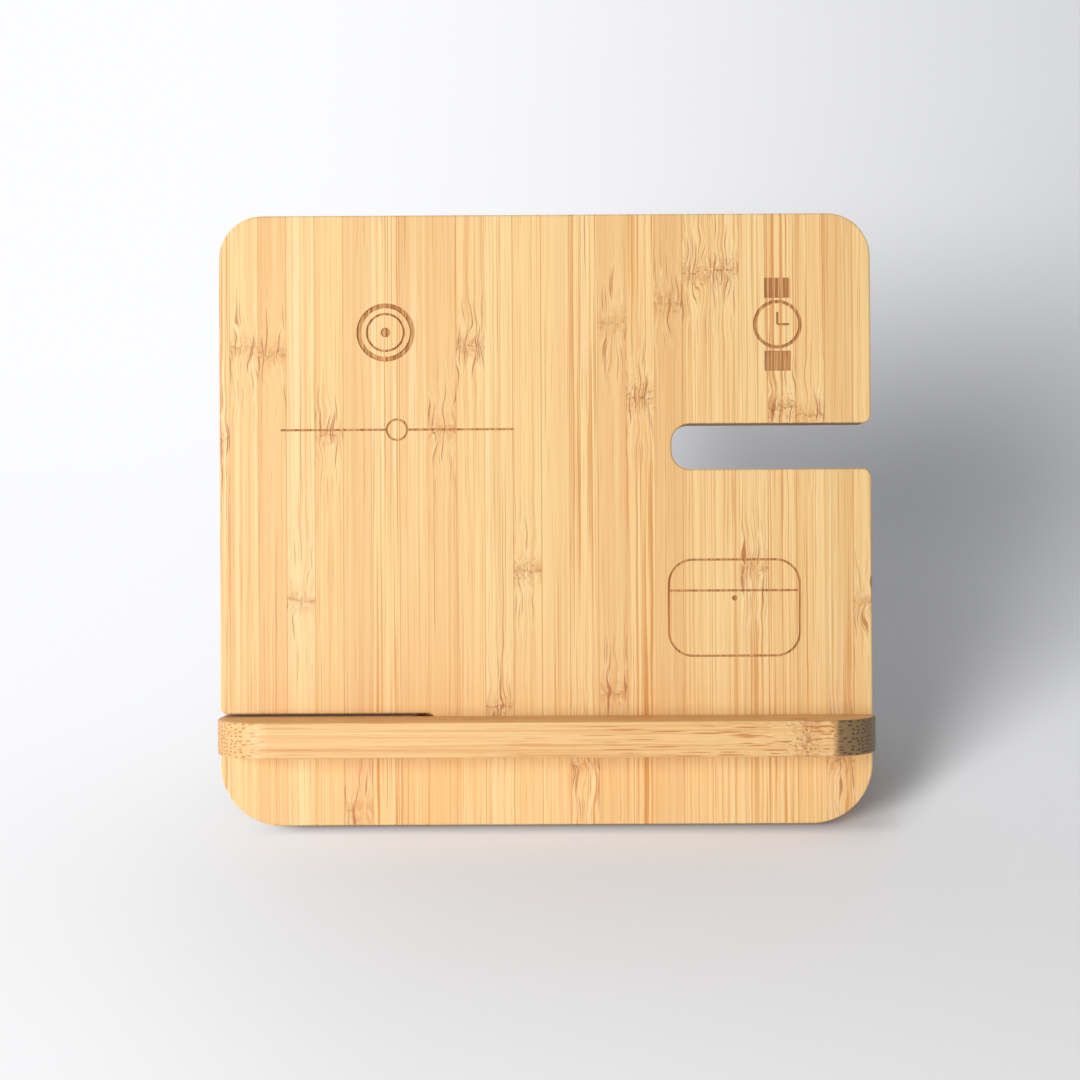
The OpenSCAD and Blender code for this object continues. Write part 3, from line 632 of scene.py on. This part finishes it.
# %% The ledge
SIDE_GAP, PLATE_SLOT_END = 0.15, LAP_END - 2.8 - 2.5
ledge_corners = [
    (-RIGHT, LEDGE_FRONT), (-RIGHT, -FOOT_END), (RIGHT, -FOOT_END), (RIGHT, -BOARD_T - SIDE_GAP),
    (PLATE_SLOT_END, -BOARD_T - SIDE_GAP), (PLATE_SLOT_END, SIDE_GAP), (RIGHT, SIDE_GAP),
    (RIGHT, LEDGE_FRONT),
]
ledge_rounds = [(13, 14, [ledge_corners[i] for i in (0, 1, 2, 7)]), (2.5, 8, ledge_corners[4:6])]
ledge_mesh = flat_piece(ledge_corners, 0, LEDGE_T, ledge_rounds)
ease_rim(ledge_mesh, (0, LEDGE_T), 0.45)
lay_over = Matrix.Translation((0, LEDGE_U, 0)) @ Matrix.Rotation(pi / 2, 4, "X")
bmesh.ops.transform(ledge_mesh, matrix=lay_over, verts=ledge_mesh.verts)
ledge_wood = finished(ledge_mesh, "ledge_wood", Matrix.Identity(4))
ledge_wood.data.materials.append(ledge_finish)
low = min(vert.co.y for vert in ledge_wood.data.vertices)
high = max(vert.co.y for vert in ledge_wood.data.vertices)
print("ledge from u", round(low, 2), "to", round(high, 2))
stand_and_plane(ledge_wood)
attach(ledge_wood, "ledge")
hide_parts("ledge_plate")

# %% [markdown]
# A moulded cover closes the pocket, with a box for the circuit board on it. Moulded plastic
# has a fine spark texture and rounded edges, and its wall is even, so the box is hollow.

# %% The cover's plastic
plastic, paint, flat, (x, u, z) = start_finish("moulded_plastic")
spark = noise(flat, 9.0, 3.0, 0.6)
flow = noise(point(x * 0.05, u * 0.02, z * 0.1), 1.0, 2.0)
dust = step(noise(flat, 2.3, 4.0, 0.7), 0.60, 0.78)
black = blend(0.5 * flow, colour(38, 38, 41), colour(48, 48, 51))
black = blend(0.22 * dust, black, colour(92, 90, 88))
end_finish(plastic, paint, {"Base Color": black, "Roughness": 0.48 + 0.14 * spark + 0.10 * dust}, spark, 0.03)

# %% The cover's shape
BOX = (-62, 34.5, -6, 68.5)
BOX_BACK, BOX_WALL, PCB_FRONT, PCB_REAR = 16.5, 1.6, 9.4, 10.4


def box_corners(margin):
    x0, y0, x1, y1 = BOX
    return [(x0 + margin, y0 + margin), (x1 - margin, y0 + margin), (x1 - margin, y1 - margin),
            (x0 + margin, y1 - margin)]


plate_corners = cover_corners(0.2)
plate_mesh = flat_piece(plate_corners, BOARD_T - COVER_T, BOARD_T, cover_rounds(plate_corners, 6))
ease_rim(plate_mesh, (BOARD_T,), 0.3, 2)
cover_shell = finished(plate_mesh, "cover_shell", Matrix.Identity(4))
cover_shell.data.materials.append(plastic)
box_mesh = flat_piece(box_corners(0), BOARD_T - 1, BOX_BACK, [(3, 8, box_corners(0))])
ease_rim(box_mesh, (BOX_BACK,), 1.0, 4)
box_outside = finished(box_mesh, "box_outside", Matrix.Identity(4))
box_outside.data.materials.append(plastic)
cut(cover_shell, [box_outside], "UNION")
cut(cover_shell, [flat_cutter("box_inside", box_corners(BOX_WALL), 5, BOX_BACK - BOX_WALL,
                              [(1.4, 5, box_corners(BOX_WALL))], plastic)])
print("cover", len(cover_shell.data.polygons), "faces")

# %% [markdown]
# Inside the box four posts take the circuit board's screws. Its left wall has the opening
# for the power socket and a round one for the light. Those two cutters are drawn lying in
# the wall, with x as their depth.

# %% The cover's posts and openings
SOCKET_U, SOCKET_D, GUIDE_U, GUIDE_D = 51.5, 12.0, 42.9, 11.4
BOARD_SCREWS = [(x, y) for x in (BOX[0] + 5.6, BOX[2] - 5.6) for y in (BOX[1] + 5.6, BOX[3] - 5.6)]
cut(cover_shell, [round_cutter("post", spot, PCB_REAR, BOX_BACK - BOX_WALL / 2, 2.4, plastic)
                  for spot in BOARD_SCREWS], "UNION")
cut(cover_shell, [round_cutter("post_hole", spot, PCB_FRONT, PCB_FRONT + 4, 1.0, plastic, 16)
                  for spot in BOARD_SCREWS])
cut(cover_shell, [round_cutter("screw_hole", spot, 5, BOARD_T + 1, 1.4, plastic) for spot in COVER_SCREWS])
cut(cover_shell, [round_cutter("head_seat", spot, BOARD_T - 1.1, BOARD_T + 1, 2.3, plastic)
                  for spot in COVER_SCREWS])

into_wall = Matrix.Rotation(pi / 2, 4, "Z") @ Matrix.Rotation(pi / 2, 4, "X")
half_w, half_t = 4.75, 1.85
oval = [(-half_w, -half_t), (half_w, -half_t), (half_w, half_t), (-half_w, half_t)]
socket_mesh = flat_piece(oval, -BOX[0] - 2.5, -BOX[0] + 1, [(half_t - 0.01, 8, oval)])
bmesh.ops.transform(socket_mesh, matrix=into_wall, verts=socket_mesh.verts)
bmesh.ops.translate(socket_mesh, verts=socket_mesh.verts, vec=(0, SOCKET_U, -SOCKET_D))
hole_mesh = bmesh.new()
bmesh.ops.create_cone(hole_mesh, cap_ends=True, segments=24, radius1=1.05, radius2=1.05, depth=4)
bmesh.ops.transform(hole_mesh, matrix=into_wall, verts=hole_mesh.verts)
bmesh.ops.translate(hole_mesh, verts=hole_mesh.verts, vec=(BOX[0], GUIDE_U, -GUIDE_D))
openings = [finished(mesh, "opening", Matrix.Identity(4)) for mesh in (socket_mesh, hole_mesh)]
for shape in openings:
    shape.data.materials.append(plastic)
    print("opening", [tuple(round(v, 2) for v in corner) for corner in (shape.bound_box[0], shape.bound_box[6])])
cut(cover_shell, openings)
stand_and_plane(cover_shell)
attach(cover_shell, "board")
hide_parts("rear_cover")

# %% [markdown]
# The parts in the pocket and in the box keep their solid shapes. What they need is a finish
# each. One helper gives a node its finish.

# %% Give solids their finish
def dress(material, *nodes):
    for name in nodes:
        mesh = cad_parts[name].data
        mesh.materials.clear()
        mesh.materials.append(material)


# %% [markdown]
# Screws are turned steel: fine rings round the head, a few scratches across, and a polish
# that varies. The rings are drawn round every screw at once by folding the drawing at each
# screw's grid would be fussy, so plain cross scratches and a soft turning noise do it.

# %% Steel
def steel(name, shade, rough_low):
    finish, paint, flat, (x, u, z) = start_finish(name)
    brushed = noise(point(x * 0.4, u * 8, z * 8), 1.0, 3.0)
    scratch = step(noise(point(x * 6, u * 0.7, z * 3), 1.0, 2.0, 0.7), 0.64, 0.72)
    dull = noise(flat, 1.1, 3.0)
    metal = blend(0.5 * dull, colour(*shade), colour(*[c * 0.82 for c in shade]))
    metal = blend(0.5 * scratch, metal, colour(214, 214, 216))
    return end_finish(finish, paint, {"Base Color": metal, "Metallic": 1.0,
                                      "Roughness": rough_low + 0.16 * brushed + 0.12 * dull},
                      brushed + 0.6 * scratch, 0.008)


dress(steel("turned_steel", (176, 176, 180), 0.22), "cover_screws", "board_screws")
dress(steel("socket_steel", (188, 188, 190), 0.18), "usb_c_shell")
dress(steel("magnet_nickel", (196, 193, 186), 0.12), "watch_magnet")

# %% [markdown]
# A charging coil is wire wound flat, side by side. Its turns are rings round the middle of the
# coil, so the finish measures the distance from that point and takes a sine of it. The same
# sine gives the bump and paints shade into the gaps between turns, with paler crowns. The
# enamel over the copper is a clear coat.

# %% Wound copper
def wound_copper(name, middle, turn):
    finish, paint, flat, (x, u, z) = start_finish(name)
    out = x.maths("SQRT", (x - middle[0]) * (x - middle[0]) + (u - middle[1]) * (u - middle[1]))
    groove_and_painted_shade = out.maths("SINE", out * (2 * pi / turn)) * 0.5 + 0.5
    strands = noise(point(x, u, z), 5.0, 2.0)
    # Painted shade: darker copper in the gaps between turns and paler on their crowns.
    copper = blend(groove_and_painted_shade, colour(122, 62, 28), colour(214, 128, 72))
    copper = blend(0.35 * strands, copper, colour(236, 160, 96))
    return end_finish(finish, paint, {"Base Color": copper, "Metallic": 0.85,
                                      "Roughness": 0.28 + 0.16 * strands, "Coat Weight": 0.4},
                      groove_and_painted_shade, 0.18)


dress(wound_copper("phone_winding", PHONE, 0.95), "phone_coil")
dress(wound_copper("watch_winding", WATCH, 0.7), "watch_coil")
dress(wound_copper("buds_winding", BUDS, 0.8), "buds_coil")

# %% The enamelled leads
leads, paint, flat, (x, u, z) = start_finish("enamelled_wire")
twist = (x + u + z).maths("SINE", (x * 5 + u * 5 + z * 5)) * 0.5 + 0.5
wear = noise(flat, 1.4, 3.0)
wire = blend(wear, colour(196, 108, 52), colour(150, 74, 34))
wire = blend(0.4 * twist, wire, colour(226, 150, 92))
end_finish(leads, paint, {"Base Color": wire, "Metallic": 0.8, "Roughness": 0.3 + 0.2 * wear,
                          "Coat Weight": 0.5}, twist, 0.05)
dress(leads, "phone_leads", "watch_leads", "buds_leads")

# %% [markdown]
# Ferrite is a pressed dark ceramic: matt grey with pale specks and hair cracks. Cell edges of
# a Voronoi texture give the cracks.

# %% Ferrite
def ferrite(name, tint, gloss):
    finish, paint, flat, (x, u, z) = start_finish(name)
    cells = flat.node("TexVoronoi", {"Vector": flat, "Scale": 0.16}, feature="DISTANCE_TO_EDGE")
    crack = 1 - step(cells, 0.0, 0.012)
    speck = step(noise(flat, 6.0, 2.0), 0.62, 0.72)
    cloud = noise(flat, 0.3, 3.0)
    grey = blend(cloud, colour(*tint), colour(*[c * 0.75 for c in tint]))
    grey = blend(0.35 * speck, grey, colour(140, 140, 144))
    grey = blend(0.7 * crack, grey, colour(22, 22, 24))
    return end_finish(finish, paint, {"Base Color": grey, "Roughness": gloss + 0.14 * cloud},
                      speck - 2 * crack, 0.02)


dress(ferrite("pressed_ferrite", (72, 72, 78), 0.5), "phone_ferrite", "watch_ferrite", "buds_ferrite")
dress(ferrite("moulded_core", (58, 58, 62), 0.38), "inductors")

# %% [markdown]
# Foam is open cells. The distance to the nearest Voronoi point hollows each cell out in the
# bump and shades its floor.

# %% Foam
foam, paint, flat, (x, u, z) = start_finish("cell_foam")
cells = flat.node("TexVoronoi", {"Vector": flat, "Scale": 2.2, "Randomness": 1.0})
hollow = 1 - step(cells, 0.12, 0.5)
yellowed = noise(flat, 0.12, 2.0)
pale = blend(yellowed, colour(222, 221, 214), colour(210, 204, 188))
pale = blend(0.5 * hollow, pale, colour(164, 160, 150))
end_finish(foam, paint, {"Base Color": pale, "Roughness": 0.85 + 0.1 * hollow}, -1 * hollow, 0.22)
dress(foam, "phone_pad", "watch_pad", "buds_pad")

# %% [markdown]
# The circuit board is glass cloth under green lacquer. Copper tracks show through as paler
# lines: a brick pattern with a thin mortar makes a believable run of them, and the cloth is
# a fine square weave in the bump.

# %% Circuit board
green_board, paint, flat, (x, u, z) = start_finish("circuit_green")
weave = x.maths("SINE", x * 9) * x.maths("SINE", u * 9) * 0.5 + 0.5
tracks = flat.node("TexBrick", {"Vector": flat, "Scale": 0.3, "Mortar Size": 0.045,
                                "Mortar Smooth": 0.1, "Brick Width": 1.3, "Row Height": 0.5}, out=1)
patch = step(noise(flat, 0.1, 1.0), 0.45, 0.52)
lacquer = blend(0.4 * weave, colour(20, 92, 52), colour(14, 72, 42))
lacquer = blend(0.55 * tracks * patch, lacquer, colour(66, 142, 84))
end_finish(green_board, paint, {"Base Color": lacquer, "Roughness": 0.28 + 0.1 * weave},
           0.3 * weave + tracks * patch, 0.03)
dress(green_board, "circuit_board")

# %% Chips, capacitors and the heat sensor
chip, paint, flat, (x, u, z) = start_finish("chip_black")
grit = noise(flat, 8.0, 3.0, 0.6)
smear = noise(flat, 0.7, 2.0)
body = blend(0.6 * smear, colour(34, 34, 36), colour(48, 47, 46))
end_finish(chip, paint, {"Base Color": body, "Roughness": 0.5 + 0.2 * grit}, grit, 0.02)
dress(chip, "control_chips", "thermistor")

can, paint, flat, (x, u, z) = start_finish("capacitor_sleeve")
shrink = noise(point(x * 1.2, u * 1.2, z * 3), 1.0, 2.0)
layers = z.maths("SINE", z * 11) * 0.5 + 0.5
sleeve = blend(shrink, colour(190, 152, 96), colour(168, 130, 78))
sleeve = blend(0.25 * layers, sleeve, colour(214, 184, 132))
end_finish(can, paint, {"Base Color": sleeve, "Roughness": 0.38 + 0.2 * shrink}, layers, 0.03)
dress(can, "capacitors")

# %% [markdown]
# The socket's tongue is black plastic with gold contacts. They repeat every half millimetre
# up the board, so a folded coordinate draws them all at once.

# %% Socket tongue
tongue, paint, flat, (x, u, z) = start_finish("socket_tongue")
lane = (u - SOCKET_U) / 0.5
fold = abs(lane - lane.maths("ROUND", lane))
contact = (1 - step(fold, 0.22, 0.30)) * (1 - step(abs(u - SOCKET_U), 2.9, 3.0)) * (1 - step(x, -57.4, -57.2))
black = blend(contact, colour(24, 24, 26), colour(214, 172, 92))
end_finish(tongue, paint, {"Base Color": black, "Metallic": contact, "Roughness": 0.5 - 0.2 * contact},
           contact, 0.05)
dress(tongue, "usb_c_tongue")

# %% [markdown]
# The light guide is a clear rod that carries the lamp's light through the wall. Transmission
# stays a plain number on the shader, and only its roughness varies, with moulding marks.

# %% Lamp and light guide
guide, paint, flat, (x, u, z) = start_finish("clear_guide")
haze = noise(flat, 2.5, 3.0)
end_finish(guide, paint, {"Base Color": blend(haze, colour(240, 246, 250), colour(226, 236, 242)),
                          "Roughness": 0.12 + 0.2 * haze, "IOR": 1.49, "Transmission Weight": 0.85},
           haze, 0.01)
dress(guide, "light_guide")

lamp, paint, flat, (x, u, z) = start_finish("lamp_white")
centre = bell(u - GUIDE_U, 0.7)
speck = noise(flat, 5.0, 2.0)
cap = blend(centre, colour(226, 226, 220), colour(238, 222, 140))
end_finish(lamp, paint, {"Base Color": blend(0.2 * speck, cap, colour(200, 200, 196)),
                         "Roughness": 0.4 + 0.2 * speck}, speck, 0.02)
dress(lamp, "status_led")

# %% [markdown]
# The stand is photographed on a pale table that rises behind it into a backdrop with no line
# between them. One strip, bent up by a bevel, is both. Its finish mixes a plain lit surface
# with a white glow that only the camera, a gloss and clear plastic see. The glow is painted
# light: full at the upper left and weaker to the right and on the table, a painted falloff of
# the lamp's light. It is taken away in a painted shadow right of the foot, in a painted
# contact shadow under the board's front edge and in painted shade round the foot.

# %% Floor and backdrop
WALL_Y = 0.50
sweep = bmesh.new()
near_edge = [sweep.verts.new((x, -1.6, 0)) for x in (-2.4, 2.4)]
far_edge = [sweep.verts.new((x, WALL_Y, 0)) for x in (2.4, -2.4)]
top_edge = [sweep.verts.new((x, WALL_Y, 1.9)) for x in (-2.4, 2.4)]
sweep.faces.new(near_edge + far_edge)
sweep.faces.new([far_edge[1], far_edge[0], top_edge[1], top_edge[0]])
crease = [edge for edge in sweep.edges if all(abs(v.co.y - WALL_Y) < 1e-6 and v.co.z == 0 for v in edge.verts)]
bmesh.ops.bevel(sweep, geom=crease, offset=0.40, segments=32, profile=0.5, affect="EDGES", material=-1)
for face in sweep.faces:
    face.smooth = True
backdrop = finished(sweep, "backdrop", Matrix.Identity(4))

paper = bpy.data.materials.new("backdrop_paper")
paper.use_nodes = True
paper.node_tree.nodes.clear()
paint = Grain(paper.node_tree)
own = paint.node("TexCoord", out=3)
across, deep, tall = (own.node("SeparateXYZ", {0: own}, out=i) for i in range(3))
greyer = step(across, -0.10, 0.30)
# Painted light falloff: the glow is full at the left and fades to a third at the right, and the table gets less
# glow than the wall except at its left.
painted_light_falloff = 1 - 0.68 * step(across, -0.16, 0.34)
painted_table_shade = 0.78 + 0.22 * step(tall, 0.0, 0.05) + 0.17 * (1 - step(across, -0.10, -0.02)) * (1 - step(tall, 0.0, 0.05))
# Painted shadow: in_shade takes the glow away in a wedge right of the foot whose edge runs along the lamp's
# direction, so the rendered shadow shows there at its full depth.
past_edge = 0.86 * across - 0.51 * deep - 0.0825
reach = 0.006 + 0.35 * deep.maths("MAXIMUM", deep, 0.0)
in_shade = (1 - step(past_edge, -1 * reach, reach)) * step(across, 0.0, 0.08) * (1 - step(tall, 0.02, 0.11))
in_shade = in_shade * step(deep, -0.045, -0.010)
# Painted shade round the foot, and a painted contact shadow in a strip under the board's front edge, where the glow
# is taken away.
painted_foot_shade = bell(across, 0.11) * bell(deep + 0.05, 0.07)
painted_contact_shadow = step(deep, -0.031, -0.025) * (1 - step(deep, 0.015, 0.040))
painted_contact_shadow = painted_contact_shadow * step(across, -0.066, -0.055) * (1 - step(across, 0.072, 0.085))
# The glow's share, with the painted falloff, the painted shadows and the painted shade in it.
glow_with_painted_shade = painted_light_falloff * painted_table_shade * (1 - in_shade) * (1 - 0.4 * painted_foot_shade) * (1 - painted_contact_shadow)
paper_white = blend(greyer, (0.88, 0.88, 0.895), (0.90, 0.905, 0.915))
lit = paint.node("BsdfPrincipled", {"Base Color": paper_white, "Roughness": 0.9,
                                    "Specular IOR Level": 0.2})
glow = paint.node("Emission", {"Color": (0.98, 0.985, 1.0, 1), "Strength": 1.0})
rays = [paint.node("LightPath", out=i) for i in (0, 3, 6)]
seen = rays[0].maths("MINIMUM", rays[0] + rays[1] + rays[2], 1.0)
both = paint.node("MixShader", {0: seen * glow_with_painted_shade, 1: lit, 2: glow})
output = paper.node_tree.nodes.new("ShaderNodeOutputMaterial")
paper.node_tree.links.new(both.socket, output.inputs["Surface"])
backdrop.data.materials.append(paper)

# %% [markdown]
# Light comes from the upper left, from a wide soft box, with an even pale room around. Its
# level is set so that the wood renders about as its colours are written.

# %% Lights
def soft_box(name, at, towards, size, power):
    lamp = bpy.data.lights.new(name, "AREA")
    lamp.shape, lamp.size, lamp.energy = "SQUARE", size, power
    holder = bpy.data.objects.new(name, lamp)
    holder.location = at
    holder.rotation_mode = "QUATERNION"
    holder.rotation_quaternion = (Vector(towards) - Vector(at)).to_track_quat("-Z", "Y")
    bpy.context.scene.collection.objects.link(holder)


soft_box("key", (-0.563, -0.835, 0.358), (0, 0, 0.06), 0.50, 8.9)
world = bpy.data.worlds.new("room")
world.use_nodes = True
world.node_tree.nodes.clear()
sky = Grain(world.node_tree)
rays = [sky.node("LightPath", out=i) for i in (0, 3, 6)]
seen = sky.maths("MINIMUM", rays[0] + rays[1] + rays[2], 1.0)
room = sky.node("Background", {"Color": (0.95, 0.97, 1.0, 1), "Strength": 0.23 + 0.6 * seen})
output = world.node_tree.nodes.new("ShaderNodeOutputWorld")
world.node_tree.links.new(room.socket, output.inputs["Surface"])
bpy.context.scene.world = world
bpy.context.scene.view_settings.view_transform = "Standard"

# %% [markdown]
# The camera stands about 0.4 m away, a little above the stand, and looks almost squarely at
# the leaning board. It is tipped by a third of a degree, as the picture is.

# %% Camera
camera = bpy.data.objects.new("camera", bpy.data.cameras.new("camera"))
camera.data.lens = 57.96
camera.location = Vector((-0.166, -392.251, 181.042)) * MM
look = Vector((-1.29, -9.679, 64.264)) * MM - camera.location
camera.rotation_mode = "QUATERNION"
camera.rotation_quaternion = look.to_track_quat("-Z", "Y") @ Quaternion((0, 0, 1), radians(-0.34))
bpy.context.scene.collection.objects.link(camera)
bpy.context.scene.camera = camera
